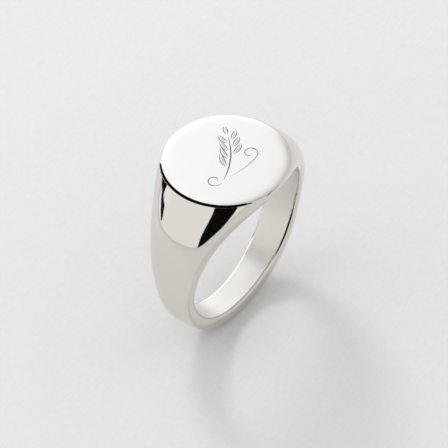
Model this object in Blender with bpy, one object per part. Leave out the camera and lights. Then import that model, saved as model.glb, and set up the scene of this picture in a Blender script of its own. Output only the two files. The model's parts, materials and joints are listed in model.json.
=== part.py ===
"""Signet ring in sterling silver with a nearly round, flat, engraved table.

The ring is put together the way a bench jeweller fabricates one. A table plate is soldered
on a head that carries both shoulders, and the shank is a half hoop soldered to the two
shoulders. The three solder seams are thin solids of their own.

Frame: +Z up through the middle of the table, +Y along the finger hole, +X across the
shoulders, origin under the middle of the shank, where the ring stands. Lengths are in
millimetres here and become metres when a mesh is made.
"""

import math

import bmesh
import bpy
import numpy as np

MM = 0.001

# Hoop: outer radius and half depth (half its extent along the finger) at the shoulder
# level, an eighth of a turn below it, and at the base. Both are counted from the bore axis.
BORE_RADIUS = 9.0
HOOP_RADII = (10.31, 10.6, 10.7)
HOOP_HALF_DEPTHS = (2.37, 1.87, 1.62)
BASE_RADIUS = HOOP_RADII[-1]
SHOULDER_MIDDLE = (BORE_RADIUS + HOOP_RADII[0]) / 2  # middle of the wall at the shoulders

# Head: half width and half depth of its level sections, at even steps from the shoulder
# level up to the table. The last section is the table itself, a little longer along the finger.
TABLE_HALF_WIDTH = 6.5
TABLE_HALF_DEPTH = 6.65
TABLE_HEIGHT = 10.68  # above the bore axis
HEAD_HALF_WIDTHS = (HOOP_RADII[0], 10.22, 9.93, 8.71, TABLE_HALF_WIDTH)
HEAD_HALF_DEPTHS = (HOOP_HALF_DEPTHS[0], 2.95, 3.87, 5.36, TABLE_HALF_DEPTH)
WIDTH_SLOPE_AT_TABLE = -0.74  # change of half width per unit of height
DEPTH_SLOPE_AT_TABLE = 0.0  # the wall under the table's near and far sides stands upright
DEPTH_SLOPE_AT_SHOULDER = 0.187  # the same flare ends the head and starts the shank

# Cross-sections are superellipses: an ellipse at the table, nearly square from the shoulders down.
ROUND_EXPONENT = 2.0
SQUARE_EXPONENT = 55.0
ROUNDING_POWER = 2.75  # how late the shoulders grow round on their way up to the table

# Soldered joints.
PLATE_THICKNESS = 0.8
SOLDER_THICKNESS = 0.08
JOINT_GAP = 0.02  # on each side of the solder, as wide as a scratch

# Engraving: V cuts made by one graver, so every cut has the same flank angle.
GRAVER_HALF_ANGLE = math.radians(46)
CUTTER_RISE = 0.05  # how far the cutter stands above the table
RUN_OUT_RISE = 0.01  # how far a cut's two ends stand above the table
STEM_START = (-2.9, -1.7)
STEM_BEND = (0.9, -0.8)
STEM_TIP = (3.2, 2.3)
STEM_WIDTH = 0.16
LEFT_LEAVES = (0.3, 0.46, 0.62, 0.78)  # where leaves leave the stem, as shares of its length
RIGHT_LEAVES = (0.56, 0.7, 0.84)
LEAF_ANGLE = math.radians(42)
LEAF_CURVE = math.radians(26)  # how far a leaf turns along its length
LEAF_LENGTHS = (2.3, 1.2)  # at the stem's foot, at its tip
LEAF_WIDTH = 0.36
LEAF_STANDOFF = 0.25  # uncut metal between stem and leaf
CURL_RADII = (0.85, 0.3)  # where a curl begins, and at its end
CURL_TURN = math.radians(380)
TENDRIL_ROOT = 0.1  # share of the stem's length where the side tendril leaves it
TENDRIL_ANGLE = math.radians(-34)
TENDRIL_BOW = math.radians(30)
TENDRIL_LENGTH = 4.3

# Colours of the two metals.
SILVER = (0.76, 0.73, 0.68)
SOLDER = (0.74, 0.71, 0.66)

# Fineness of the facets.
CORNER_STEPS = 12  # per quarter of a section
HOOP_STEPS = 47  # odd, so that a flat facet lies under the middle of the shank
BORE_FACETS = 96
HEAD_LEVELS = 15
STROKE_STEPS = 12


def spline(knots, values, first_slope, last_slope):
    """Cubic spline through the values with a given slope at each end, as a function."""
    knots = np.asarray(knots, float)
    values = np.asarray(values, float)
    steps = np.diff(knots)
    chords = np.diff(values) / steps
    matrix = np.eye(len(knots))
    right = np.empty(len(knots))
    right[0], right[-1] = first_slope, last_slope
    for i in range(1, len(knots) - 1):
        before, after = steps[i - 1], steps[i]
        matrix[i, i - 1 : i + 2] = after, 2 * (before + after), before
        right[i] = 3 * (after * chords[i - 1] + before * chords[i])
    slopes = np.linalg.solve(matrix, right)

    def at(x):
        i = int(np.clip(np.searchsorted(knots, x) - 1, 0, len(steps) - 1))
        t = (x - knots[i]) / steps[i]
        return (
            (1 + 2 * t) * (1 - t) ** 2 * values[i]
            + t * t * (3 - 2 * t) * values[i + 1]
            + t * (1 - t) ** 2 * steps[i] * slopes[i]
            + t * t * (t - 1) * steps[i] * slopes[i + 1]
        )

    return at


LEVELS = np.linspace(0, TABLE_HEIGHT, len(HEAD_HALF_WIDTHS))
head_half_width = spline(LEVELS, HEAD_HALF_WIDTHS, 0, WIDTH_SLOPE_AT_TABLE)
head_half_depth = spline(LEVELS, HEAD_HALF_DEPTHS, DEPTH_SLOPE_AT_SHOULDER, DEPTH_SLOPE_AT_TABLE)
EIGHTHS = (0, math.pi / 4, math.pi / 2)
hoop_radius = spline(EIGHTHS, HOOP_RADII, 0, 0)
hoop_half_depth = spline(EIGHTHS, HOOP_HALF_DEPTHS, -DEPTH_SLOPE_AT_SHOULDER * HOOP_RADII[0], 0)


def head_exponent(height):
    """Exponent of the head's level section at this height above the bore axis."""
    squareness = ROUND_EXPONENT / SQUARE_EXPONENT
    roundness = squareness + (1 - squareness) * (height / TABLE_HEIGHT) ** ROUNDING_POWER
    return ROUND_EXPONENT / roundness


def quarter_angles(exponent, last=math.pi / 2):
    """Angles from 0 to last along a section's quarter, closer together at a square corner."""
    crowding = 3 - 2 * ROUND_EXPONENT / exponent
    return [last * (1 - (1 - k / CORNER_STEPS) ** crowding) for k in range(CORNER_STEPS + 1)]


def head_section(height):
    """The head's closed level section, anticlockwise seen from above."""
    exponent = head_exponent(height)
    width, depth = head_half_width(height), head_half_depth(height)
    first = [
        (width * max(math.cos(a), 0) ** (2 / exponent), depth * math.sin(a))
        for a in quarter_angles(exponent)
    ]
    half = first + [(-x, y) for x, y in first[-2::-1]]
    outline = half + [(-x, -y) for x, y in half[1:-1]]
    return [(x, y, height) for x, y in outline]


def hoop_section(turn):
    """The hoop's section at this turn from the +X shoulder down and round to the -X one."""
    fall = min(turn, math.pi - turn)
    radius, depth = hoop_radius(fall), hoop_half_depth(fall)
    rim = math.acos((BORE_RADIUS / radius) ** (SQUARE_EXPONENT / 2))
    half = [
        (radius * math.cos(a) ** (2 / SQUARE_EXPONENT), depth * math.sin(a))
        for a in quarter_angles(SQUARE_EXPONENT, rim)
    ]
    outline = [(r, -y) for r, y in half[:0:-1]] + half
    return [(r * math.cos(turn), y, -r * math.sin(turn)) for r, y in outline]


def add_loft(bm, rings):
    """Adds a closed body whose skin runs through the rings, with flat faces at its ends."""
    loops = [[bm.verts.new([c * MM for c in point]) for point in ring] for ring in rings]
    for low, high in zip(loops, loops[1:]):
        for i, corner in enumerate(low):
            bm.faces.new((low[i - 1], corner, high[i], high[i - 1]))
    bm.faces.new(loops[0][::-1])
    bm.faces.new(loops[-1])


def add_object(name, bm, parent, height):
    """Turns a bmesh into an object whose origin stands at this height on the ring's axis."""
    bmesh.ops.recalc_face_normals(bm, faces=bm.faces)
    mesh = bpy.data.meshes.new(name)
    bm.to_mesh(mesh)
    bm.free()
    mesh.shade_smooth()
    mesh.set_sharp_from_angle(angle=math.radians(30))
    obj = bpy.data.objects.new(name, mesh)
    bpy.context.scene.collection.objects.link(obj)
    obj.parent = parent
    obj.location = (0, 0, height * MM)
    return obj


def loft_object(name, rings, parent, height=BASE_RADIUS):
    """A closed loft as an object, by default with its origin on the bore axis."""
    bm = bmesh.new()
    add_loft(bm, rings)
    return add_object(name, bm, parent, height)


def cut(obj, cutter):
    """Takes the cutter's shape out of the object and keeps the cutter as a hidden guide."""
    cutter.hide_render = True
    cutter.display_type = "WIRE"
    modifier = obj.modifiers.new(cutter.name, "BOOLEAN")
    modifier.operation = "DIFFERENCE"
    modifier.solver = "EXACT"
    modifier.object = cutter


def metal(name, colour, roughness):
    """A metal with this colour and roughness."""
    material = bpy.data.materials.new(name)
    material.use_nodes = True
    shader = material.node_tree.nodes["Principled BSDF"]
    shader.inputs["Base Color"].default_value = (*colour, 1)
    shader.inputs["Metallic"].default_value = 1
    shader.inputs["Roughness"].default_value = roughness
    return material


def polished_silver(part):
    return metal(f"{part}_silver", SILVER, 0.1)


def silver_solder(seam):
    return metal(f"{seam}_alloy", SOLDER, 0.2)


def make_head(parent):
    """Head with both shoulders: level sections up to the seam under the plate, then bored."""
    top = TABLE_HEIGHT - PLATE_THICKNESS - SOLDER_THICKNESS - 2 * JOINT_GAP
    rings = [head_section(h) for h in np.linspace(0, top, HEAD_LEVELS)]
    head = loft_object("head_with_shoulders", rings, parent)
    head.data.materials.append(polished_silver("head"))
    bm = bmesh.new()
    bmesh.ops.create_cone(
        bm,
        cap_ends=True,
        segments=BORE_FACETS,
        radius1=BORE_RADIUS * MM,
        radius2=BORE_RADIUS * MM,
        depth=4 * TABLE_HALF_DEPTH * MM,
    )
    cutter = add_object("finger_bore", bm, parent, BASE_RADIUS)
    cutter.rotation_euler.x = math.pi / 2
    cut(head, cutter)


def make_shank(parent):
    """Half hoop between the two shoulder seams, and the solder in each seam."""
    gap = JOINT_GAP / SHOULDER_MIDDLE
    solder = SOLDER_THICKNESS / SHOULDER_MIDDLE
    start = 2 * gap + solder
    rings = [hoop_section(t) for t in np.linspace(start, math.pi - start, HOOP_STEPS + 1)]
    shank = loft_object("shank", rings, parent)
    shank.data.materials.append(polished_silver("shank"))
    for side, upper in (("right", gap), ("left", math.pi - gap - solder)):
        name = f"shoulder_solder_{side}"
        seam = loft_object(name, [hoop_section(upper), hoop_section(upper + solder)], parent)
        seam.data.materials.append(silver_solder(name))


def make_table(parent):
    """Table plate with its engraving, and the solder that holds it on the head."""
    bottom = TABLE_HEIGHT - PLATE_THICKNESS
    levels = np.linspace(bottom, TABLE_HEIGHT, 4)
    rings = [[(x, y, z - TABLE_HEIGHT) for x, y, z in head_section(h)] for h in levels]
    table_top = BASE_RADIUS + TABLE_HEIGHT
    plate = loft_object("table_plate", rings, parent, table_top)
    plate.data.materials.append(polished_silver("table"))
    cut(plate, make_engraving(parent, table_top))
    top = bottom - JOINT_GAP
    seam = [head_section(top - SOLDER_THICKNESS), head_section(top)]
    solder = loft_object("table_solder", seam, parent)
    solder.data.materials.append(silver_solder("table_solder"))


def turned(vector, angle):
    """A flat vector turned anticlockwise."""
    c, s = math.cos(angle), math.sin(angle)
    return np.array((c * vector[0] - s * vector[1], s * vector[0] + c * vector[1]))


def stem_point(t):
    """Point and unit direction on the sprig's stem, a parabola through its three points."""
    start, bend, tip = (np.array(p) for p in (STEM_START, STEM_BEND, STEM_TIP))
    point = (1 - t) ** 2 * start + 2 * t * (1 - t) * bend + t * t * tip
    direction = (1 - t) * (bend - start) + t * (tip - bend)
    return point, direction / np.linalg.norm(direction)


def arc_points(start, direction, length, turn):
    """Points along an arc that leaves start in this direction and turns evenly."""
    points = [np.array(start)]
    for k in range(STROKE_STEPS):
        heading = turned(direction, turn * (k + 0.5) / STROKE_STEPS)
        points.append(points[-1] + heading * length / STROKE_STEPS)
    return points


def curl_points(start, direction, turn):
    """Points along a curl that winds inwards as it turns."""
    points = [start]
    steps = 2 * STROKE_STEPS
    for k in range(steps):
        share = (k + 0.5) / steps
        radius = CURL_RADII[0] + (CURL_RADII[1] - CURL_RADII[0]) * share
        points.append(points[-1] + turned(direction, turn * share) * radius * abs(turn) / steps)
    return points


def add_stroke(bm, points, width):
    """A V cut along the points that swells to its full width and runs out at both ends."""
    spread = math.tan(GRAVER_HALF_ANGLE)
    rings = []
    for i, point in enumerate(points):
        swell = math.sin(math.pi * i / (len(points) - 1))
        depth = width / 2 / spread * swell - RUN_OUT_RISE
        before, after = points[max(i - 1, 0)], points[min(i + 1, len(points) - 1)]
        along = (after - before) / np.linalg.norm(after - before)
        side = turned(along, math.pi / 2) * (depth + CUTTER_RISE) * spread
        left, right = point + side, point - side
        rings.append([(*left, CUTTER_RISE), (*point, -depth), (*right, CUTTER_RISE)])
    add_loft(bm, rings)


def make_engraving(parent, table_top):
    """Cutter for the leaf sprig: a stem with a curled foot, a curled tendril and leaves."""
    bm = bmesh.new()
    stem = [stem_point(t)[0] for t in np.linspace(0.04, 0.9, STROKE_STEPS + 1)]
    add_stroke(bm, stem, STEM_WIDTH)
    foot, direction = stem_point(0)
    add_stroke(bm, curl_points(foot, -direction, -CURL_TURN), STEM_WIDTH)
    root, direction = stem_point(TENDRIL_ROOT)
    root = root + turned(direction, -math.pi / 2) * LEAF_STANDOFF
    heading = turned(direction, TENDRIL_ANGLE)
    reach = arc_points(root, heading, TENDRIL_LENGTH, TENDRIL_BOW)
    curl = curl_points(reach[-1], turned(heading, TENDRIL_BOW), CURL_TURN)
    add_stroke(bm, reach[:-1] + curl, STEM_WIDTH)
    tip, direction = stem_point(0.95)
    add_stroke(bm, arc_points(tip, direction, LEAF_LENGTHS[1], 0), LEAF_WIDTH)
    for side, shares in ((1, LEFT_LEAVES), (-1, RIGHT_LEAVES)):
        for share in shares:
            root, direction = stem_point(share)
            start = root + turned(direction, side * math.pi / 2) * LEAF_STANDOFF
            heading = turned(direction, side * LEAF_ANGLE)
            length = LEAF_LENGTHS[0] + (LEAF_LENGTHS[1] - LEAF_LENGTHS[0]) * share
            add_stroke(bm, arc_points(start, heading, length, -side * LEAF_CURVE), LEAF_WIDTH)
    return add_object("engraving_cut", bm, parent, table_top)


def main():
    for obj in list(bpy.data.objects):
        bpy.data.objects.remove(obj)
    ring = bpy.data.objects.new("signet_ring", None)
    bpy.context.scene.collection.objects.link(ring)
    make_head(ring)
    make_shank(ring)
    make_table(ring)


main()
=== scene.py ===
"""Looks of the signet ring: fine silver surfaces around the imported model, and the set.

Lengths in the shape's own section are millimetres with the bore axis as origin. They become
metres in the row frame when a mesh is made.
"""

import json
import math

import bmesh
import bpy
import numpy as np
from mathutils import Matrix, Vector


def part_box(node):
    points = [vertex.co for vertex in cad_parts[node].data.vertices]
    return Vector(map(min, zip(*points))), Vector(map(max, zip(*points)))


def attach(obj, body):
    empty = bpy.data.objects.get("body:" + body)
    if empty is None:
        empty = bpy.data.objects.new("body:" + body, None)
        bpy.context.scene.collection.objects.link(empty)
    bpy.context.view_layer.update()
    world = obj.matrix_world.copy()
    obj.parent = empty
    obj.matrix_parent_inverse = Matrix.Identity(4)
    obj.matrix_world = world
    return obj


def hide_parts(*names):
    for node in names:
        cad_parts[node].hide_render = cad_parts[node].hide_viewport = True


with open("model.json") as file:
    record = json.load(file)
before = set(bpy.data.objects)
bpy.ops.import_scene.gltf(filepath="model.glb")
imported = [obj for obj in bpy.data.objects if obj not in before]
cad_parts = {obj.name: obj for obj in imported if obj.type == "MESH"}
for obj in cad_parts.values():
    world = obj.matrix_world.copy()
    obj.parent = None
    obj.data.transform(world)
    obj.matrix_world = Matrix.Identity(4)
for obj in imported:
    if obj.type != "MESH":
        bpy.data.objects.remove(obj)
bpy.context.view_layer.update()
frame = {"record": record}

MM = 0.001

# ---------------------------------------------------------------- sizes from the frame
PLATE_LOW, PLATE_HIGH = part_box("table_plate")
HEAD_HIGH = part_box("head_with_shoulders")[1]
FINGER_BOX = np.array(frame["record"]["physics"]["openings"][0]["box_m"])
BORE_AXIS = FINGER_BOX.mean(axis=0)[2] / MM  # height of the bore axis above the base
TABLE_HALF_DEPTH = (PLATE_HIGH.y - PLATE_LOW.y) / 2 / MM
TABLE_HEIGHT = PLATE_HIGH.z / MM - BORE_AXIS
PLATE_BOTTOM = PLATE_LOW.z / MM - BORE_AXIS
PLATE_MIDDLE = (PLATE_LOW.z + PLATE_HIGH.z) / 2
HEAD_TOP = HEAD_HIGH.z / MM - BORE_AXIS

# ---------------------------------------------------------------- shape of the ring
BORE_RADIUS = 9.0
TABLE_HALF_WIDTH = 6.5
HOOP_RADII = (10.31, 10.6, 10.7)  # at the shoulder, an eighth of a turn below it, at the base
HOOP_HALF_DEPTHS = (2.37, 1.87, 1.62)
HEAD_HALF_WIDTHS = (HOOP_RADII[0], 10.22, 9.93, 8.71, TABLE_HALF_WIDTH)  # shoulder to table
HEAD_HALF_DEPTHS = (HOOP_HALF_DEPTHS[0], 2.95, 3.87, 5.36, TABLE_HALF_DEPTH)
WIDTH_SLOPE_AT_TABLE = -0.74
DEPTH_SLOPE_AT_TABLE = 0.0
DEPTH_SLOPE_AT_SHOULDER = 0.187
ROUND_EXPONENT = 2.0
SQUARE_EXPONENT = 55.0
ROUNDING_POWER = 2.75
RIGHT_SHOULDER = math.pi / 2  # turns round the bore axis, counted from the top
LEFT_SHOULDER = 1.5 * math.pi
SEAM_TURN = math.radians(0.7)  # how far the solder reaches below the shoulders
RIM_ROUNDING = 0.38  # softened edge between bore and sides

# ---------------------------------------------------------------- fineness of the meshes
ROW_POINTS = 97
EDGE_STEPS = 6
BORE_POINTS = 13
HEAD_TOP_ROWS = 6  # between the bore's upper rim and the seam under the table
PLATE_ROWS = 5
TURN_STEP = math.radians(1.25)
LEVEL_TOLERANCE = 1e-9  # mm below the bore axis within which a row is still level
NORMAL_STEP = 1e-4  # mm over which the skin's gradient is taken
MERGE_DISTANCE = 2e-7  # metres within which points of two patches become one point
SLIVER_LENGTH = 1e-8  # metres
END_SIDES = 90  # a face with more sides than this is a cut end
BORE_SLOT = 1  # material slot of the bore, which has a satin finish
TOP_SLOT = 1  # material slot of the table's top
CUT_SLOT = 2  # material slot of the cuts in it


def unit(vectors):
    """The same directions as vectors of length 1."""
    return vectors / np.linalg.norm(vectors, axis=-1, keepdims=True)


def spline(knots, values, first_slope, last_slope):
    """Cubic spline through the values with a given slope at each end, for arrays."""
    knots = np.asarray(knots, float)
    values = np.asarray(values, float)
    steps = np.diff(knots)
    chords = np.diff(values) / steps
    matrix = np.eye(len(knots))
    right = np.empty(len(knots))
    right[0], right[-1] = first_slope, last_slope
    for i in range(1, len(knots) - 1):
        before, after = steps[i - 1], steps[i]
        matrix[i, i - 1 : i + 2] = after, 2 * (before + after), before
        right[i] = 3 * (after * chords[i - 1] + before * chords[i])
    slopes = np.linalg.solve(matrix, right)

    def at(x):
        i = np.clip(np.searchsorted(knots, x) - 1, 0, len(steps) - 1)
        step = steps[i]
        t = (x - knots[i]) / step
        return (
            (1 + 2 * t) * (1 - t) ** 2 * values[i]
            + t * t * (3 - 2 * t) * values[i + 1]
            + t * (1 - t) ** 2 * step * slopes[i]
            + t * t * (t - 1) * step * slopes[i + 1]
        )

    return at


HEAD_LEVELS = np.linspace(0, TABLE_HEIGHT, len(HEAD_HALF_WIDTHS))
head_half_width = spline(HEAD_LEVELS, HEAD_HALF_WIDTHS, 0, WIDTH_SLOPE_AT_TABLE)
head_half_depth = spline(
    HEAD_LEVELS, HEAD_HALF_DEPTHS, DEPTH_SLOPE_AT_SHOULDER, DEPTH_SLOPE_AT_TABLE
)
HOOP_FALLS = (0, math.pi / 4, math.pi / 2)  # turns below the shoulder
hoop_radius = spline(HOOP_FALLS, HOOP_RADII, 0, 0)
DEPTH_CHANGE_PER_TURN = -DEPTH_SLOPE_AT_SHOULDER * HOOP_RADII[0]  # so that hoop meets head smoothly
hoop_half_depth = spline(HOOP_FALLS, HOOP_HALF_DEPTHS, DEPTH_CHANGE_PER_TURN, 0)


def head_exponent(height):
    """Exponent of the head's level section at this height above the bore axis."""
    squareness = ROUND_EXPONENT / SQUARE_EXPONENT
    share = np.clip(height / TABLE_HEIGHT, 0, 1)
    return ROUND_EXPONENT / (squareness + (1 - squareness) * share**ROUNDING_POWER)


def section(x, z):
    """Width measure, half depth and exponent of the section that holds the point (x, z).

    Above the bore axis the sections are level, and below it they are radial. The width
    measure is 0 in the middle of the hoop's wall and 1 on the outline.
    """
    fall = np.arctan2(np.maximum(-z, 0), np.abs(x))
    above = z >= 0
    height = np.maximum(z, 0)
    share = np.where(above, np.abs(x) / head_half_width(height), np.hypot(x, z) / hoop_radius(fall))
    depth = np.where(above, head_half_depth(height), hoop_half_depth(fall))
    exponent = np.where(above, head_exponent(height), SQUARE_EXPONENT)
    return share, depth, exponent


def wall_depth(x, z):
    """How far the ring's wall reaches from the middle plane at (x, z)."""
    share, depth, exponent = section(x, z)
    return depth * np.sqrt(np.clip(1 - share**exponent, 0, 1))


def skin_normal(points):
    """Outward normals of the outer skin, from the gradient of its implicit function."""

    def value(p):
        share, depth, exponent = section(p[:, 0], p[:, 2])
        return share**exponent + (p[:, 1] / depth) ** 2

    normal = np.empty_like(points)
    for axis in range(3):
        shift = np.zeros(3)
        shift[axis] = NORMAL_STEP
        normal[:, axis] = value(points + shift) - value(points - shift)
    return unit(normal)


# ---------------------------------------------------------------- patches of the skin


class Skin:
    """Vertices, quads and vertex normals of a mesh that is put together from patches."""

    def __init__(self):
        self.points = []
        self.normals = []
        self.faces = []
        self.slots = []
        self.count = 0

    def patch(self, points, normals, slot=0):
        """Adds a grid of points, rows by columns, with the normals of the true surface."""
        rows, columns = points.shape[:2]
        index = self.count + np.arange(rows * columns).reshape(rows, columns)
        quads = np.stack([index[:-1, :-1], index[:-1, 1:], index[1:, 1:], index[1:, :-1]], axis=-1)
        quads = quads.reshape(-1, 4)
        self.faces += quads.tolist()
        self.slots += [slot] * len(quads)
        self.points.append(points.reshape(-1, 3))
        self.normals.append(normals.reshape(-1, 3))
        self.count += rows * columns


def row_angles(exponent, last):
    """Angles from -last to last whose points crowd towards both ends of a square section."""
    share = np.linspace(-1, 1, ROW_POINTS)
    crowding = 3 - 2 * ROUND_EXPONENT / exponent  # 1 on an ellipse, nearly 3 on an oblong
    return last * np.sign(share) * (1 - (1 - np.abs(share)) ** crowding)


def level_row(z, reach=None):
    """Half of the level section at this height, on the +X side, out to y = -reach..reach."""
    width, depth = float(head_half_width(z)), float(head_half_depth(z))
    exponent = float(head_exponent(z))
    last = math.pi / 2 if reach is None else math.asin(min(reach / depth, 1))
    angle = row_angles(exponent, last)
    x = width * np.maximum(np.cos(angle), 0) ** (2 / exponent)
    return np.stack([x, depth * np.sin(angle), np.full_like(x, z)], axis=-1)


def outer_row(turn, radius):
    """One row of the skin, rim to rim, where its edges lie at this radius from the bore axis.

    turn is counted from the top of the hoop. The row is level above the bore axis and radial
    below it. Its points crowd towards the corners of square sections.
    """
    x, z = radius * math.sin(turn), radius * math.cos(turn)
    if z > -LEVEL_TOLERANCE:
        return level_row(max(z, 0), wall_depth(x, max(z, 0)))
    fall = turn - RIGHT_SHOULDER
    outline, depth = float(hoop_radius(fall)), float(hoop_half_depth(fall))
    last = math.acos((radius / outline) ** (SQUARE_EXPONENT / 2))
    angle = row_angles(SQUARE_EXPONENT, last)
    r = outline * np.cos(angle) ** (2 / SQUARE_EXPONENT)
    return np.stack([r * math.sin(turn), depth * np.sin(angle), r * math.cos(turn)], axis=-1)


def rounded(start, corner, end, first, last):
    """Points and normals of an edge rounded from start to end, with one row for each step.

    The edge's true corner pulls the curve outwards. first and last are the normals there.
    """
    t = np.linspace(0, 1, EDGE_STEPS + 1)[:, None, None]
    points = (1 - t) ** 2 * start + 2 * t * (1 - t) * corner + t * t * end
    before = np.linalg.norm(corner - start, axis=-1, keepdims=True)
    after = np.linalg.norm(end - corner, axis=-1, keepdims=True)
    normals = (1 - t) * before * first + t * after * last
    return points, unit(normals)


def around_bore(turns):
    """Unit vectors from the bore axis at these turns, counted from the top."""
    return np.stack([np.sin(turns), np.zeros_like(turns), np.cos(turns)], axis=-1)


def add_rim(skin, turns, side):
    """Adds the rounded edge between the skin and the bore on one side, along these turns."""
    spin = around_bore(turns)
    outer, corner = spin * (BORE_RADIUS + RIM_ROUNDING), spin * BORE_RADIUS
    outer[:, 1] = side * wall_depth(outer[:, 0], outer[:, 2])
    corner[:, 1] = side * wall_depth(corner[:, 0], corner[:, 2])
    inner = corner - (0, side * RIM_ROUNDING, 0)
    skin.patch(*rounded(outer, corner, inner, skin_normal(outer), -spin))


def add_bore(skin, turns):
    """Adds the bore between its two rounded rims, along these turns."""
    spin = around_bore(turns)
    points = np.repeat((spin * BORE_RADIUS)[:, None], BORE_POINTS, axis=1)
    reach = wall_depth(points[:, 0, 0], points[:, 0, 2]) - RIM_ROUNDING
    points[:, :, 1] = reach[:, None] * np.linspace(-1, 1, BORE_POINTS)
    skin.patch(points, np.repeat(-spin[:, None], BORE_POINTS, axis=1), BORE_SLOT)


def add_inside(skin, turns):
    """Adds the bore and both rounded rims along these turns."""
    add_bore(skin, turns)
    for side in (-1, 1):
        add_rim(skin, turns, side)


def mirrored(points):
    """The same points on the other side of the ring."""
    return points * (-1, 1, 1)


def add_skin(skin, rows, mirror=False):
    """Adds rows of the outer skin, or their mirror images on the other side of the ring."""
    points = np.array(rows)
    normals = skin_normal(points.reshape(-1, 3)).reshape(points.shape)
    if mirror:
        points, normals = mirrored(points), mirrored(normals)
    skin.patch(points, normals)


def turn_steps(start, stop):
    """Even turns from start to stop, about TURN_STEP apart."""
    return np.linspace(start, stop, max(round(abs(stop - start) / TURN_STEP), 1) + 1)


# ---------------------------------------------------------------- meshes


def add_object(name, data):
    """A new object in the scene with this mesh, camera or light."""
    obj = bpy.data.objects.new(name, data)
    bpy.context.scene.collection.objects.link(obj)
    return obj


def object_from(name, bm, materials=()):
    """A new object whose mesh is made from this bmesh, which is freed."""
    mesh = bpy.data.meshes.new(name)
    bm.to_mesh(mesh)
    bm.free()
    for material in materials:
        mesh.materials.append(material)
    return add_object(name, mesh)


def finish_mesh(name, skin, materials):
    """Joins the patches into one closed mesh with flat faces over its open ends."""
    mesh = bpy.data.meshes.new(name)
    points = (np.concatenate(skin.points) + (0, 0, BORE_AXIS)) * MM
    mesh.from_pydata(points.tolist(), [], skin.faces)
    true = mesh.attributes.new("true_normal", "FLOAT_VECTOR", "POINT")
    true.data.foreach_set("vector", np.concatenate(skin.normals).astype(np.float32).ravel())
    mesh.polygons.foreach_set("material_index", skin.slots)
    bm = bmesh.new()
    bm.from_mesh(mesh)
    bmesh.ops.remove_doubles(bm, verts=bm.verts, dist=MERGE_DISTANCE)
    bmesh.ops.dissolve_degenerate(bm, edges=bm.edges, dist=SLIVER_LENGTH)
    open_edges = [e for e in bm.edges if e.is_boundary]
    for face in bmesh.ops.holes_fill(bm, edges=open_edges, sides=0)["faces"]:
        on_top = face.calc_center_median().z > PLATE_MIDDLE
        face.material_index = TOP_SLOT if on_top else 0
    bmesh.ops.recalc_face_normals(bm, faces=bm.faces)
    bm.to_mesh(mesh)
    bm.free()
    for material in materials:
        mesh.materials.append(material)
    return add_object(name, mesh)


def set_normals(mesh, flat_slots=()):
    """Gives each corner the true surface's normal, and end faces and flat slots their own."""
    mesh.shade_smooth()
    true = np.empty(len(mesh.vertices) * 3, np.float32)
    mesh.attributes["true_normal"].data.foreach_get("vector", true)
    true = true.reshape(-1, 3)
    corners = np.empty((len(mesh.loops), 3), np.float32)
    for polygon in mesh.polygons:
        ends = len(polygon.vertices) > END_SIDES and polygon.material_index == 0
        flat = ends or polygon.material_index in flat_slots
        for loop in polygon.loop_indices:
            vertex = mesh.loops[loop].vertex_index
            corners[loop] = polygon.normal if flat else true[vertex]
    mesh.normals_split_custom_set(corners.tolist())
    mesh.attributes.remove(mesh.attributes["true_normal"])


# ---------------------------------------------------------------- hoop, head and seams


def make_hoop_part(name, start, stop, materials):
    """A stretch of the hoop below the shoulders, with turns counted from the top."""
    skin = Skin()
    turns = turn_steps(start, stop)
    rows = []
    for turn in turns:
        left = turn > math.pi
        row = outer_row(2 * math.pi - turn if left else turn, BORE_RADIUS + RIM_ROUNDING)
        rows.append(mirrored(row) if left else row)
    add_skin(skin, rows)
    add_inside(skin, turns)
    obj = finish_mesh(name, skin, materials)
    set_normals(obj.data)
    return obj


def make_head(materials):
    """Head and shoulders from the shoulder seams up to the seam under the table plate."""
    skin = Skin()
    edge = BORE_RADIUS + RIM_ROUNDING
    rows = [outer_row(t, edge) for t in turn_steps(RIGHT_SHOULDER, 0)]
    rows += [level_row(z) for z in np.linspace(edge, HEAD_TOP, HEAD_TOP_ROWS)[1:]]
    add_skin(skin, rows)
    add_skin(skin, rows, mirror=True)
    add_inside(skin, turn_steps(-RIGHT_SHOULDER, RIGHT_SHOULDER))
    obj = finish_mesh("head", skin, materials)
    set_normals(obj.data)
    return obj


def make_table_solder(materials):
    """Solder that fills the seam between head and table plate."""
    skin = Skin()
    rows = [level_row(z) for z in (HEAD_TOP, PLATE_BOTTOM)]
    add_skin(skin, rows)
    add_skin(skin, rows, mirror=True)
    obj = finish_mesh("solder_under_table", skin, materials)
    set_normals(obj.data)
    return obj


# ---------------------------------------------------------------- table plate
BEVEL_DROP = 0.18
BEVEL_INSET = 0.05
BEVEL_CROWN = math.radians(7)  # tilt of the crowned bevel at its edges
LOWER_EASE, UPPER_EASE = 0.015, 0.05  # mm of wall and top that the bevel's soft edges take
LOWER_EASED, UPPER_EASED = 0.06, 0.25  # shares of the bevel's half width that they take
INNER_SHARE = 0.08  # of the outline, inside which the top is one flat face
DOME_DROP = 0.05  # mm by which the table's edge lies below its middle
EDGE_DROP = 0.1  # mm more by which polishing has rounded the table near its edge
EDGE_POWER = 18
TOP_ROWS = 36
TOP_CROWDING = 1.5  # how closely the top's rows stand near its edge
LEAST_SHARE = 1e-6  # keeps the normal in the table's very middle defined


def table_share(x, y):
    """How far out (x, y) lies on the table, from 0 in its middle to 1 on its outline."""
    return np.hypot(x / TABLE_HALF_WIDTH, y / TABLE_HALF_DEPTH)


def table_drop(share):
    """How far polishing has lowered the table here."""
    return DOME_DROP * share**2 + EDGE_DROP * share**EDGE_POWER


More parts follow.
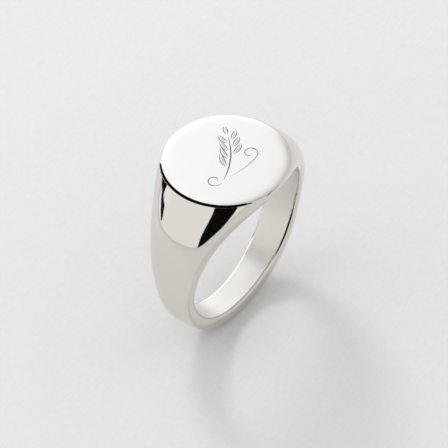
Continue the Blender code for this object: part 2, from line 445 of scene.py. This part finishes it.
def table_normal(points):
    """Normals of the table's polished top."""
    x, y = points[..., 0], points[..., 1]
    share = np.maximum(table_share(x, y), LEAST_SHARE)
    slope = 2 * DOME_DROP * share + EDGE_POWER * EDGE_DROP * share ** (EDGE_POWER - 1)
    across = slope * x / (TABLE_HALF_WIDTH**2 * share)
    along = slope * y / (TABLE_HALF_DEPTH**2 * share)
    return unit(np.stack([across, along, np.ones_like(slope)], axis=-1))


def on_table(share):
    """The table's outline on the +X side, drawn in to this share and laid on its top."""
    points = level_row(TABLE_HEIGHT) * (share, share, 1)
    points[:, 2] -= table_drop(share)
    return points


def bevel_lines():
    """The crowned bevel's low, middle and high edge on the +X side, and its end normals."""
    high = on_table(1 - BEVEL_INSET / TABLE_HALF_WIDTH)
    low = level_row(high[0, 2] - BEVEL_DROP)
    across = high - low
    width = np.linalg.norm(across, axis=1, keepdims=True)
    normals = unit(np.cross(np.gradient(low + high, axis=0), across))
    crown = (low + high) / 2 + normals * width / 2 * math.tan(BEVEL_CROWN)
    tilt = across / width * math.tan(BEVEL_CROWN)
    return low, crown, high, normals - tilt, normals + tilt


def make_plate(materials):
    """Table plate with a narrow, crowned bevel round its polished top."""
    skin = Skin()
    low, crown, high, first, last = bevel_lines()
    rows = [level_row(z) for z in np.linspace(PLATE_BOTTOM, low[0, 2] - LOWER_EASE, PLATE_ROWS)]
    add_skin(skin, rows)
    add_skin(skin, rows, mirror=True)
    lower = low + (crown - low) * LOWER_EASED
    upper = high + (crown - high) * UPPER_EASED
    outer = 1 - (BEVEL_INSET + UPPER_EASE) / TABLE_HALF_WIDTH
    shares = outer - (outer - INNER_SHARE) * np.linspace(0, 1, TOP_ROWS) ** TOP_CROWDING
    top = np.array([on_table(share) for share in shares])
    for points, normals, slot in (
        (*rounded(rows[-1], low, lower, skin_normal(rows[-1]), first), 0),
        (*rounded(lower, crown, upper, first, last), 0),
        (*rounded(upper, high, top[0], last, table_normal(top[0])), 0),
        (top, table_normal(top), TOP_SLOT),
    ):
        skin.patch(points, normals, slot)
        skin.patch(mirrored(points), mirrored(normals), slot)
    return finish_mesh("table", skin, materials)


# ---------------------------------------------------------------- engraving
GRAVER_HALF_ANGLE = math.radians(46)
CUTTER_RISE = 0.012  # how far the cutter stands above the table
RUN_OUT = 0.002  # height above the table at which a cut's point ends
SWELL_POWER = 0.5  # how quickly a cut reaches its full width
TOP_TOLERANCE = 0.004  # within which a point counts as on the table's top
STEM_START = (-2.9, -1.7)
STEM_BEND = (0.9, -0.8)
STEM_TIP = (3.2, 2.3)
STEM_CUT = (0.04, 0.9)  # shares of the stem's length where its own cut starts and stops
STEM_WIDTH = 0.17
HAIRLINE = 0.12
HATCH_LINE = 0.055
LEFT_LEAVES = (0.3, 0.46, 0.62, 0.78)  # where leaves leave the stem, as shares of its length
RIGHT_LEAVES = (0.56, 0.7, 0.84)
TIP_LEAF = 0.95
LEAF_ANGLE = math.radians(42)
LEAF_CURVE = math.radians(26)  # how far a leaf turns along its length
LEAF_LENGTHS = (2.3, 1.2)  # at the stem's foot, at its tip
LEAF_HALF_WIDTH = 0.22
LEAF_END_HALF_WIDTH = 0.05
LEAF_STANDOFF = 0.25  # uncut metal between stem and leaf
HATCH_STEP = 0.13  # along a leaf
HATCH_GAPS = (0.06, 0.085)  # from the vein, from the outline
HATCH_MARGIN = 3  # hatch lines left out at each end of a leaf
HATCH_POINTS = 5
CURL_RADII = (0.85, 0.3)  # where a curl begins, and at its end
CURL_TURN = math.radians(380)
TENDRIL_ROOT = 0.1  # share of the stem's length where the side tendril leaves it
TENDRIL_ANGLE = math.radians(-41)
TENDRIL_BOW = math.radians(30)
TENDRIL_LENGTH = 4.3
STROKE_STEPS = 20  # in a leaf and in the tendril's reach
STEM_STEPS = 40
CURL_STEPS = 60
VEIN = slice(3, -4)  # the steps of a leaf along which its vein is cut
HATCH_LEAN = 0.8  # steps of a leaf by which a hatch line leans towards its tip


def turned(vector, angle):
    """A flat vector turned anticlockwise."""
    c, s = math.cos(angle), math.sin(angle)
    return np.array((c * vector[0] - s * vector[1], s * vector[0] + c * vector[1]))


def stem_point(t):
    """Point and unit direction on the sprig's stem, a parabola through its three points."""
    start, bend, tip = (np.array(p) for p in (STEM_START, STEM_BEND, STEM_TIP))
    point = (1 - t) ** 2 * start + 2 * t * (1 - t) * bend + t * t * tip
    direction = (1 - t) * (bend - start) + t * (tip - bend)
    return point, direction / np.linalg.norm(direction)


def arc_points(start, direction, length, turn):
    """Points along an arc that leaves start in this direction and turns evenly."""
    points = [np.array(start)]
    for k in range(STROKE_STEPS):
        heading = turned(direction, turn * (k + 0.5) / STROKE_STEPS)
        points.append(points[-1] + heading * length / STROKE_STEPS)
    return points


def curl_points(start, direction, turn):
    """Points along a curl that winds inwards as it turns."""
    points = [start]
    for k in range(CURL_STEPS):
        share = (k + 0.5) / CURL_STEPS
        radius = CURL_RADII[0] + (CURL_RADII[1] - CURL_RADII[0]) * share
        step = radius * abs(turn) / CURL_STEPS
        points.append(points[-1] + turned(direction, turn * share) * step)
    return points


def point_along(line, place):
    """Point at a place, counted in steps, along a line of points."""
    return np.array([np.interp(place, range(len(line)), axis) for axis in zip(*line)])


def add_cut(bm, points, width):
    """A V cut that swells to its full width and runs out at both ends, as a closed cutter."""
    spread = math.tan(GRAVER_HALF_ANGLE)
    last = len(points) - 1
    loops = []
    for i, point in enumerate(points):
        swell = max(math.sin(math.pi * i / last), 0) ** SWELL_POWER
        depth = width / 2 / spread * swell - RUN_OUT
        before, after = points[max(i - 1, 0)], points[min(i + 1, last)]
        along = (after - before) / np.linalg.norm(after - before)
        side = turned(along, math.pi / 2) * (depth + CUTTER_RISE) * spread
        level = TABLE_HEIGHT - table_drop(table_share(*point)) + BORE_AXIS
        corners = ((point + side, CUTTER_RISE), (point, -depth), (point - side, CUTTER_RISE))
        loops.append([bm.verts.new((*(p * MM), (level + rise) * MM)) for p, rise in corners])
    for low, high in zip(loops, loops[1:]):
        for i, corner in enumerate(low):
            bm.faces.new((low[i - 1], corner, high[i], high[i - 1]))
    bm.faces.new(loops[0][::-1])
    bm.faces.new(loops[-1])


def add_leaf(bm, start, heading, length, curve):
    """An outlined leaf with a vein down its middle and hatching on its shaded half."""
    middle = arc_points(start, heading, length, curve)
    sides = [turned(heading, curve * k / STROKE_STEPS + math.pi / 2) for k in range(len(middle))]
    swell = [math.sin(math.pi * k / STROKE_STEPS) for k in range(len(middle))]
    reach = [LEAF_END_HALF_WIDTH + (LEAF_HALF_WIDTH - LEAF_END_HALF_WIDTH) * s for s in swell]
    for way in (-1, 1):
        outline = [p + way * s * r for p, s, r in zip(middle, sides, reach)]
        add_cut(bm, outline, HAIRLINE)
    add_cut(bm, middle[VEIN], HATCH_LINE)
    inner = [p - s * HATCH_GAPS[0] for p, s in zip(middle, sides)]
    outer = [p - s * (r - HATCH_GAPS[1]) for p, s, r in zip(middle, sides, reach)]
    count = int(length / HATCH_STEP)
    for k in range(HATCH_MARGIN, count - HATCH_MARGIN):
        place = k * STROKE_STEPS / count
        low, high = point_along(inner, place), point_along(outer, place + HATCH_LEAN)
        add_cut(bm, [low + (high - low) * t for t in np.linspace(0, 1, HATCH_POINTS)], HATCH_LINE)


def add_stem(bm):
    """The stem, and the curl that its foot ends in."""
    stem = [stem_point(t)[0] for t in np.linspace(*STEM_CUT, STEM_STEPS)]
    add_cut(bm, stem, STEM_WIDTH)
    foot, direction = stem_point(0)
    add_cut(bm, curl_points(foot, -direction, -CURL_TURN), HAIRLINE)


def add_tendril(bm):
    """The curled tendril beside the stem's foot."""
    root, direction = stem_point(TENDRIL_ROOT)
    root = root + turned(direction, -math.pi / 2) * LEAF_STANDOFF
    heading = turned(direction, TENDRIL_ANGLE)
    reach = arc_points(root, heading, TENDRIL_LENGTH, TENDRIL_BOW)
    curl = curl_points(reach[-1], turned(heading, TENDRIL_BOW), CURL_TURN)
    add_cut(bm, reach[:-1] + curl, HAIRLINE)


def add_leaves(bm):
    """The leaf at the stem's tip and those on its two sides."""
    tip, direction = stem_point(TIP_LEAF)
    add_leaf(bm, tip, direction, LEAF_LENGTHS[1], 0)
    for side, shares in ((1, LEFT_LEAVES), (-1, RIGHT_LEAVES)):
        for share in shares:
            root, direction = stem_point(share)
            start = root + turned(direction, side * math.pi / 2) * LEAF_STANDOFF
            heading = turned(direction, side * LEAF_ANGLE)
            length = LEAF_LENGTHS[0] + (LEAF_LENGTHS[1] - LEAF_LENGTHS[0]) * share
            add_leaf(bm, start, heading, length, -side * LEAF_CURVE)


def make_cutter():
    """Cutter for the whole leaf sprig."""
    bm = bmesh.new()
    add_stem(bm)
    add_tendril(bm)
    add_leaves(bm)
    bmesh.ops.recalc_face_normals(bm, faces=bm.faces)
    for face in bm.faces:
        face.material_index = CUT_SLOT
    return object_from("cutter", bm)


def restore_top_normals(mesh):
    """Gives the table's true normals to every point on its top, new ones included."""
    points = np.array([v.co for v in mesh.vertices]) / MM - (0, 0, BORE_AXIS)
    level = TABLE_HEIGHT - table_drop(table_share(points[:, 0], points[:, 1]))
    normals = np.empty(len(points) * 3, np.float32)
    true = mesh.attributes["true_normal"].data
    true.foreach_get("vector", normals)
    normals = normals.reshape(-1, 3)
    on_top = np.abs(points[:, 2] - level) < TOP_TOLERANCE
    normals[on_top] = table_normal(points[on_top])
    true.foreach_set("vector", normals.ravel())


def engrave(plate):
    """Cuts the sprig into the plate's top and gives the plate its normals."""
    cutter = make_cutter()
    modifier = plate.modifiers.new("engraving", "BOOLEAN")
    modifier.operation = "DIFFERENCE"
    modifier.solver = "EXACT"
    modifier.use_self = True
    modifier.object = cutter
    bpy.context.view_layer.update()
    evaluated = plate.evaluated_get(bpy.context.evaluated_depsgraph_get())
    cut = bpy.data.meshes.new_from_object(evaluated)
    plate.modifiers.clear()
    plate.data = cut
    bpy.data.objects.remove(cutter)
    restore_top_normals(cut)
    set_normals(cut, {CUT_SLOT})


# ---------------------------------------------------------------- materials
SILVER = (0.755, 0.72, 0.67)
CUT_SILVER = (0.42, 0.41, 0.4)  # painted shade: the cuts' colour is darkened for the shade they cast on one another, and they hold a little tarnish
POLISH_ROUGHNESS = 0.05
TABLE_ROUGHNESS = 0.04
BORE_ROUGHNESS = 0.35
CUT_ROUGHNESS = 0.3
POLISH_SPREAD = (0.75, 1.35)  # shares of its roughness between which a polished surface varies
SATIN_SPREAD = (0.85, 1.15)
PAPER_TONES = (0.665, 0.705)  # where the fibres lie open and close
PAPER_ROUGHNESS = (0.85, 0.95)
NOISE_RANGE = (0.25, 0.75)  # where nearly all of a noise's values lie
CLOUDS = (1.4, 1.4, 1.4)  # mm along x, y and z of one mark of a noise, as for the next ones
SCRATCHES_ALONG = (2.5, 0.05, 2.5)
SCRATCHES_ACROSS = (0.05, 2.5, 1.25)
SATIN_CLOUDS = (2.8, 1.4, 2.8)
SATIN_LINES = (7.5, 0.09, 7.5)
DIMPLES = (1.65, 1.1, 1.1)
FIBRES = (0.84, 0.28, 0.28)
SCRATCH_DEPTH = 0.00012  # mm, as for the next depths
SATIN_DEPTH = 0.0009
DIMPLE_DEPTH = 0.06
FIBRE_DEPTH = 0.015


def new_material(name, metallic):
    """A Principled material and its node tree, shader node and a position output in metres."""
    material = bpy.data.materials.new(name)
    material.use_nodes = True
    tree = material.node_tree
    shader = tree.nodes["Principled BSDF"]
    shader.inputs["Metallic"].default_value = metallic
    place = tree.nodes.new("ShaderNodeTexCoord").outputs["Object"]
    return material, tree, shader, place


def noise(tree, place, sizes, detail):
    """Noise from 0 to 1 whose marks have these sizes in mm along x, y and z."""
    stretch = tree.nodes.new("ShaderNodeMapping")
    stretch.inputs["Scale"].default_value = [1 / (size * MM) for size in sizes]
    texture = tree.nodes.new("ShaderNodeTexNoise")
    texture.inputs["Scale"].default_value = 1
    texture.inputs["Detail"].default_value = detail
    tree.links.new(place, stretch.inputs["Vector"])
    tree.links.new(stretch.outputs["Vector"], texture.inputs["Vector"])
    return texture.outputs["Fac"]


def vary(tree, value, bounds, socket):
    """Drives a shader socket between two bounds by a noise."""
    spread = tree.nodes.new("ShaderNodeMapRange")
    spread.inputs["From Min"].default_value, spread.inputs["From Max"].default_value = NOISE_RANGE
    spread.inputs["To Min"].default_value, spread.inputs["To Max"].default_value = bounds
    tree.links.new(value, spread.inputs["Value"])
    tree.links.new(spread.outputs["Result"], socket)


def emboss(tree, heights, shader):
    """Bumps the surface by (noise, depth in mm) layers, one over the other."""
    normal = None
    for height, depth in heights:
        bump = tree.nodes.new("ShaderNodeBump")
        bump.inputs["Distance"].default_value = depth * MM
        tree.links.new(height, bump.inputs["Height"])
        if normal:
            tree.links.new(normal, bump.inputs["Normal"])
        normal = bump.outputs["Normal"]
    tree.links.new(normal, shader.inputs["Normal"])


def polished(name, roughness, colour=SILVER):
    """Buffed silver: clouds of a softer shine and hair-fine scratches that cross."""
    material, tree, shader, place = new_material(name, 1)
    shader.inputs["Base Color"].default_value = (*colour, 1)
    bounds = [roughness * share for share in POLISH_SPREAD]
    vary(tree, noise(tree, place, CLOUDS, detail=3), bounds, shader.inputs["Roughness"])
    along = noise(tree, place, SCRATCHES_ALONG, detail=2)
    across = noise(tree, place, SCRATCHES_ACROSS, detail=2)
    emboss(tree, ((along, SCRATCH_DEPTH), (across, SCRATCH_DEPTH)), shader)
    return material


def satin(name):
    """Silver inside the finger hole: a soft shine, with fine lines that run round the bore."""
    material, tree, shader, place = new_material(name, 1)
    shader.inputs["Base Color"].default_value = (*SILVER, 1)
    bounds = [BORE_ROUGHNESS * share for share in SATIN_SPREAD]
    vary(tree, noise(tree, place, SATIN_CLOUDS, detail=3), bounds, shader.inputs["Roughness"])
    emboss(tree, ((noise(tree, place, SATIN_LINES, detail=3), SATIN_DEPTH),), shader)
    return material


def paper():
    """Uncoated white paper with soft dimples and short fibres."""
    material, tree, shader, place = new_material("paper", 0)
    dimples = noise(tree, place, DIMPLES, detail=3)
    fibres = noise(tree, place, FIBRES, detail=4)
    vary(tree, fibres, PAPER_ROUGHNESS, shader.inputs["Roughness"])
    vary(tree, fibres, PAPER_TONES, shader.inputs["Base Color"])
    emboss(tree, ((dimples, DIMPLE_DEPTH), (fibres, FIBRE_DEPTH)), shader)
    return material


def emitter(name, radiance):
    """A surface that only shines, evenly."""
    material = bpy.data.materials.new(name)
    material.use_nodes = True
    nodes = material.node_tree.nodes
    nodes.remove(nodes["Principled BSDF"])
    shine = nodes.new("ShaderNodeEmission")
    shine.inputs["Color"].default_value = (*radiance, 1)
    material.node_tree.links.new(shine.outputs[0], nodes["Material Output"].inputs["Surface"])
    return material


# ---------------------------------------------------------------- camera
RING_CENTRE = Vector((0, 0, BORE_AXIS * MM))
CAMERA_AZIMUTH = math.radians(-51.764)
CAMERA_ELEVATION = math.radians(45.605)
CAMERA_ROLL = math.radians(-2.837)
LENS = 500  # mm, so the view is as parallel as the photograph's
SENSOR = 36
VIEW_WIDTH = 46.26  # mm across the picture at the ring
AIM_OFFSET = (-0.541, 0.803)  # mm from the bore's centre to the picture's centre


def view_axes():
    """The camera's right, up and back directions."""
    back = Vector(
        (
            math.sin(CAMERA_AZIMUTH) * math.cos(CAMERA_ELEVATION),
            -math.cos(CAMERA_AZIMUTH) * math.cos(CAMERA_ELEVATION),
            math.sin(CAMERA_ELEVATION),
        )
    )
    level = Vector((math.cos(CAMERA_AZIMUTH), math.sin(CAMERA_AZIMUTH), 0))
    right = math.cos(CAMERA_ROLL) * level + math.sin(CAMERA_ROLL) * back.cross(level)
    return right, back.cross(right), back


def add_camera():
    """Camera that looks at the ring from above its left shoulder, nearly parallel."""
    right, up, back = view_axes()
    data = bpy.data.cameras.new("camera")
    data.lens = LENS
    data.sensor_width = SENSOR
    camera = add_object("camera", data)
    aim = RING_CENTRE + (right * AIM_OFFSET[0] + up * AIM_OFFSET[1]) * MM
    distance = LENS * VIEW_WIDTH / SENSOR * MM
    turn = Matrix((right, up, back)).transposed().to_4x4()
    camera.matrix_world = Matrix.Translation(aim + back * distance) @ turn
    bpy.context.scene.camera = camera


def toward(azimuth, elevation):
    """Unit vector with its azimuth counted in degrees from +Y towards +X."""
    a, e = math.radians(azimuth), math.radians(elevation)
    return Vector((math.sin(a) * math.cos(e), math.cos(a) * math.cos(e), math.sin(e)))


# ---------------------------------------------------------------- black cards
BLACK = (0.003, 0.003, 0.003)
CARD_STEPS = 13
FAR_CARD_DISTANCE = 0.35  # metres
FAR_CARDS = {  # (azimuth, elevation) of the corners: low left, low right, high right, high left
    "flag_camera": ((-142, -1.7), (-112, -1.7), (-107, 28), (-145, 28)),
    "flag_lens": ((-145, 27), (-107, 27), (-104, 46), (-150, 46)),
}
SIDE_CARD_DISTANCE = 0.067  # metres
SIDE_CARD = (  # (azimuth, elevation) of its left and right edge, from its foot to its end
    ((-5, -4), (-8, 3)),
    ((-11, 3), (-18, 14.5)),
    ((-17, 6), (-26, 17)),
    ((-25, 11), (-30, 15)),
    ((-32, 12), (-38.5, 18.5)),
    ((-37, 10), (-41.5, 14.5)),
    ((-41, 8), (-42.5, 10)),
)
BEVEL_CARD_DISTANCE = 12  # mm
BEVEL_CARD_ROWS = 3
BEVEL_CARD = (  # azimuth, and how far the bevel leans where it mirrors the card's two edges
    (-186, 6, 7),
    (-180, 4, 9),
    (-160, 3, 9),
    (-150, 0, 9),
    (-142, -8, 12),
    (-128, -11, 19),
    (-118, -10, 20),
    (-108, -9, 18),
    (-99, -9, 16),
    (-90, -9, 14),
    (-70, -9, 12),
    (-45, -9, 9),
    (-36, -5, 5),
)
RIM_CARD_DISTANCE = 2.5  # mm
RIM_CARD_ROWS = 7
RIM_CARD = (  # turn below the shoulder, and the rim's tilts where it mirrors the two edges
    (14, 28, 32),
    (26, 14, 50),
    (44, 14, 46),
    (58, 30, 34),
)


def add_card(name, rows, material):
    """A card that only the silver's reflections see, through rows of points in metres."""
    bm = bmesh.new()
    grid = [[bm.verts.new(point) for point in row] for row in rows]
    for low, up in zip(grid, grid[1:]):
        for i in range(len(low) - 1):
            bm.faces.new((low[i], low[i + 1], up[i + 1], up[i]))
    card = object_from(name, bm, [material])
    card.visible_camera = False
    card.visible_diffuse = False
    card.visible_shadow = False


def far_card(corners):
    """Rows of points on a far card between its four corners."""
    low_left, low_right, high_right, high_left = np.array(corners, float)
    steps = np.linspace(0, 1, CARD_STEPS)
    rows = []
    for up in steps:
        left = low_left + (high_left - low_left) * up
        right = low_right + (high_right - low_right) * up
        directions = [toward(*(left + (right - left) * share)) for share in steps]
        rows.append([RING_CENTRE + direction * FAR_CARD_DISTANCE for direction in directions])
    return rows


def side_card():
    """Rows of points on the narrow card that the left shoulder mirrors as a dark strip."""
    return [
        [RING_CENTRE + toward(*direction) * SIDE_CARD_DISTANCE for direction in row]
        for row in SIDE_CARD
    ]


def close_row(metal, facing, distance):
    """Points this far from the metal, in the direction in which it mirrors the camera."""
    back = np.array(view_axes()[2])
    facing = unit(facing)
    mirror = 2 * (facing @ back)[:, None] * facing - back
    return (metal + mirror * distance + (0, 0, BORE_AXIS)) * MM


def near_bevel(first_turn, last_turn):
    """Azimuths, points, directions across and normals of the bevel between two azimuths."""
    low, crown, high, first, last = bevel_lines()
    lines = [np.concatenate([a, mirrored(a)[::-1]]) for a in (crown, high - low, first + last)]
    azimuth = np.degrees(np.arctan2(lines[0][:, 0], lines[0][:, 1]))
    azimuth -= 360 * (azimuth > last_turn)
    near = np.flatnonzero((azimuth > first_turn) & (azimuth < last_turn))
    order = near[np.argsort(azimuth[near])]
    return azimuth[order], *(line[order] for line in lines)


def bevel_card():
    """Rows of points on a narrow arch in which the bevel's near side mirrors the camera."""
    turns, low_tilts, high_tilts = np.array(BEVEL_CARD).T
    azimuth, crown, across, normals = near_bevel(turns[0], turns[-1])
    across, normals = unit(across), unit(normals)
    low, high = (np.interp(azimuth, turns, tilts) for tilts in (low_tilts, high_tilts))
    rows = []
    for share in np.linspace(0, 1, BEVEL_CARD_ROWS):
        tilt = np.radians(low + (high - low) * share)[:, None]
        rows.append(close_row(crown, normals + across * np.tan(tilt), BEVEL_CARD_DISTANCE))
    return rows


def rim_card():
    """Rows of points on a strip in which the shank's near rim mirrors the camera."""
    turns, low_tilts, high_tilts = np.array(RIM_CARD).T
    turn = np.linspace(turns[0], turns[-1], CARD_STEPS)
    low, high = (np.interp(turn, turns, tilts) for tilts in (low_tilts, high_tilts))
    spin = around_bore(RIGHT_SHOULDER + np.radians(turn))
    sideways = np.array((0, -1, 0))
    reach = hoop_half_depth(np.radians(turn)) - RIM_ROUNDING / 2
    edge = spin * BORE_RADIUS + sideways * reach[:, None]
    rows = []
    for share in np.linspace(0, 1, RIM_CARD_ROWS):
        tilt = np.radians(low + (high - low) * share)[:, None]
        facing = sideways * np.sin(tilt) - spin * np.cos(tilt)
        rows.append(close_row(edge, facing, RIM_CARD_DISTANCE))
    return rows


# ---------------------------------------------------------------- floor and light
FLOOR_HALF_SIZE = 3  # metres
LIGHTS = (  # name, (azimuth, elevation), distance and size in metres, power in watts
    ("key", (28, 42), 0.4, 0.09, 0.42),
    ("side", (-38, 35), 0.2, 0.15, 0.03),
)
TENT_COLOUR = (0.95, 0.95, 0.95)
TENT_PATCHES = (  # (azimuth, elevation), degrees from there to its outer and inner edge, colour
    ((110, 30), (115, 20), (0.72, 0.73, 0.75)),
    ((10, 35), (51, 27), (1.25, 1.31, 1.38)),
    ((42, 12), (36, 16), (1.46, 1.52, 1.58)),
)
FILL_COLOUR = (0.95, 0.95, 0.95)  # what lights the floor
HAZE_COLOUR = (0.7, 0.705, 0.705)  # the far floor, so that no horizon shows


def add_floor():
    """Plain pale paper under the ring."""
    bm = bmesh.new()
    corners = ((-1, -1), (1, -1), (1, 1), (-1, 1))
    bm.faces.new([bm.verts.new((x * FLOOR_HALF_SIZE, y * FLOOR_HALF_SIZE, 0)) for x, y in corners])
    floor = object_from("floor", bm, [paper()])


def add_light(name, direction, distance, size, power):
    """A square area light that looks at the ring and shows in no reflection."""
    data = bpy.data.lights.new(name, "AREA")
    data.size = size
    data.energy = power
    light = add_object(name, data)
    direction = toward(*direction)
    turn = direction.to_track_quat("Z", "Y").to_matrix().to_4x4()
    light.matrix_world = Matrix.Translation(RING_CENTRE + direction * distance) @ turn
    light.visible_glossy = False
    light.visible_camera = False


def tent_patch(tree, around, direction, reach, colour):
    """Colour of the tent that turns from the one around to the patch's near its direction."""
    nodes, links = tree.nodes, tree.links
    aim = nodes.new("ShaderNodeVectorMath")
    aim.operation = "DOT_PRODUCT"
    aim.inputs[1].default_value = toward(*direction)
    links.new(nodes.new("ShaderNodeTexCoord").outputs["Generated"], aim.inputs[0])
    ramp = nodes.new("ShaderNodeMapRange")
    ramp.interpolation_type = "SMOOTHSTEP"
    ramp.inputs["From Min"].default_value = math.cos(math.radians(reach[0]))
    ramp.inputs["From Max"].default_value = math.cos(math.radians(reach[1]))
    links.new(aim.outputs["Value"], ramp.inputs["Value"])
    mix = nodes.new("ShaderNodeMix")
    mix.data_type = "RGBA"
    links.new(ramp.outputs["Result"], mix.inputs["Factor"])
    outer, inner = mix.inputs[6], mix.inputs[7]  # the node's two colours
    links.new(around, outer)
    inner.default_value = (*colour, 1)
    return mix.outputs[2]


def even_light_for(tree, ray, colour, otherwise):
    """An even light of this colour for one kind of ray, and the other light for all the rest."""
    even = tree.nodes.new("ShaderNodeBackground")
    even.inputs["Color"].default_value = (*colour, 1)
    choice = tree.nodes.new("ShaderNodeMixShader")
    rays = tree.nodes.new("ShaderNodeLightPath")
    tree.links.new(rays.outputs[ray], choice.inputs["Fac"])
    tree.links.new(otherwise, choice.inputs[1])
    tree.links.new(even.outputs[0], choice.inputs[2])
    return choice.outputs[0]


def add_world():
    """A white tent that is darker on the right, with two soft, brighter glows behind the ring."""
    world = bpy.data.worlds.new("studio")
    world.use_nodes = True
    tree = world.node_tree
    plain = tree.nodes.new("ShaderNodeRGB").outputs["Color"]
    plain.default_value = (*TENT_COLOUR, 1)
    tent = plain
    for patch in TENT_PATCHES:
        tent = tent_patch(tree, tent, *patch)
    background = tree.nodes["Background"]
    tree.links.new(tent, background.inputs["Color"])
    light = even_light_for(tree, "Is Diffuse Ray", FILL_COLOUR, background.outputs[0])
    light = even_light_for(tree, "Is Camera Ray", HAZE_COLOUR, light)
    tree.links.new(light, tree.nodes["World Output"].inputs["Surface"])
    bpy.context.scene.world = world


def add_set():
    """Camera, floor, tent, lights and the black cards that the silver mirrors."""
    bpy.context.scene.view_settings.view_transform = "Standard"
    add_camera()
    add_floor()
    add_world()
    black = emitter("black_flag", BLACK)
    for name, corners in FAR_CARDS.items():
        add_card(name, far_card(corners), black)
    add_card("flag_side", side_card(), black)
    add_card("flag_bevel", bevel_card(), black)
    add_card("flag_rim", rim_card(), black)
    for light in LIGHTS:
        add_light(*light)


# ---------------------------------------------------------------- the ring in its set


def place_piece(obj, node):
    """Stands the piece in for its CAD node."""
    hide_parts(node)
    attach(obj, "root")


def main():
    """Makes the six pieces, gives each to its CAD node and builds the set."""
    head = make_head([polished("head_silver", POLISH_ROUGHNESS), satin("head_bore")])
    place_piece(head, "head_with_shoulders")
    right_seam_end = RIGHT_SHOULDER + SEAM_TURN
    left_seam_start = LEFT_SHOULDER - SEAM_TURN
    finishes = [polished("shank_silver", POLISH_ROUGHNESS), satin("shank_bore")]
    shank = make_hoop_part("hoop", right_seam_end, left_seam_start, finishes)
    place_piece(shank, "shank")
    alloys = [polished("shoulder_alloy", POLISH_ROUGHNESS), satin("shoulder_bore")]
    for side, start, stop in (
        ("right", RIGHT_SHOULDER, right_seam_end),
        ("left", left_seam_start, LEFT_SHOULDER),
    ):
        seam = make_hoop_part(f"seam_{side}", start, stop, alloys)
        place_piece(seam, f"shoulder_solder_{side}")
    seam = make_table_solder([polished("table_alloy", POLISH_ROUGHNESS)])
    place_piece(seam, "table_solder")
    wall, top = (polished(name, TABLE_ROUGHNESS) for name in ("table_side", "table_silver"))
    # the cuts' material has painted shade in its darker colour
    table = make_plate([wall, top, polished("table_cuts", CUT_ROUGHNESS, CUT_SILVER)])
    engrave(table)
    place_piece(table, "table_plate")
    add_set()


main()
